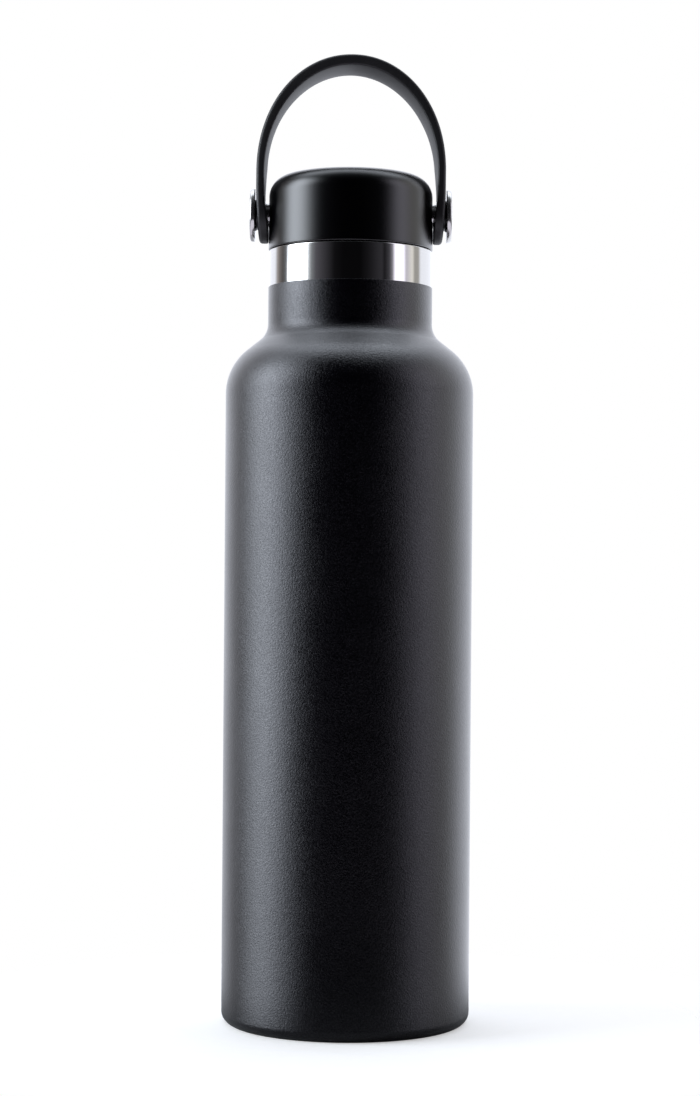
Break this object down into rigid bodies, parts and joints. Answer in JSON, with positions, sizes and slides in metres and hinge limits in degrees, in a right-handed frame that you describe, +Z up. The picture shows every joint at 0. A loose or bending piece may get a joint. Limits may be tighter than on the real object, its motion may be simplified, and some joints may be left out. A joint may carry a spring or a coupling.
{
  "type": "insulated water bottle",
  "caption": "Tall narrow-neck double-wall vacuum bottle with a threaded insulated screw cap and a flexible carrying strap that swings on steel pivot pins.",
  "frame": {"origin": "centre of the foot ring's ground plane, on the bottle's own axis", "axes": "+Z up along the bottle's axis from the foot to the crown of the strap; X through both strap pivots, +X to the right seen from the front; -Y faces the viewer"},
  "size_m": [0.073, 0.073, 0.284],
  "materials": {
    "polished_steel": "stainless steel turned to a near-mirror on the band, the foot and the pin heads",
    "bare_steel": "plain electropolished stainless steel",
    "black_coat": "baked black powder coat over the steel, satin with a fine sandy grain; the coat is a polymer layer of its own, so plastic gives its true mass",
    "seal_glass": "fused glass sealing bead",
    "getter_metal": "sintered grey metal pellet",
    "foil": "thin bright aluminium foil",
    "silicone": "soft matte silicone",
    "cap_plastic": "moulded black polypropylene, fine satin",
    "plug_plastic": "moulded black polypropylene",
    "foam": null,
    "strap_rubber": "flexible black thermoplastic elastomer, smooth and matte",
    "bush_plastic": "black acetal"
  },
  "bodies": {
    "bottle": {"outer_shell": "polished_steel", "powder_coat": "black_coat", "outer_base": "polished_steel", "base_disc": "polished_steel", "vacuum_seal": "seal_glass", "getter": "getter_metal", "getter_clip": "bare_steel", "inner_liner": "bare_steel", "liner_base": "bare_steel", "radiation_foil": "foil"},
    "cap_seal": {"cap_gasket": "silicone"},
    "cap": {"cap_cover": "cap_plastic", "cap_plug": "plug_plastic", "cap_insulation": "foam", "pivot_pin_left": "polished_steel", "pivot_pin_right": "polished_steel", "pivot_screw_left": "bare_steel", "pivot_screw_right": "bare_steel"},
    "handle": {"strap": "strap_rubber", "strap_bush_left": "bush_plastic", "strap_bush_right": "bush_plastic"}
  },
  "joints": [
    {"name": "cap_lift", "type": "slide", "parent": "bottle", "child": "cap_seal", "axis": [0, 0, 1], "range_m": [0, 0.018]},
    {"name": "cap_turn", "type": "hinge", "parent": "cap_seal", "child": "cap", "pos_m": [0, 0, 0.2377], "axis": [0, 0, 1], "range_deg": [0, 1440]},
    {"name": "strap_swing", "type": "hinge", "parent": "cap", "child": "handle", "pos_m": [0, 0, 0.2377], "axis": [1, 0, 0], "range_deg": [-120, 120]}
  ],
  "couplings": [
    {"joint": "cap_turn", "follows": "cap_lift", "rad_per_m": 1396.3}
  ]
}
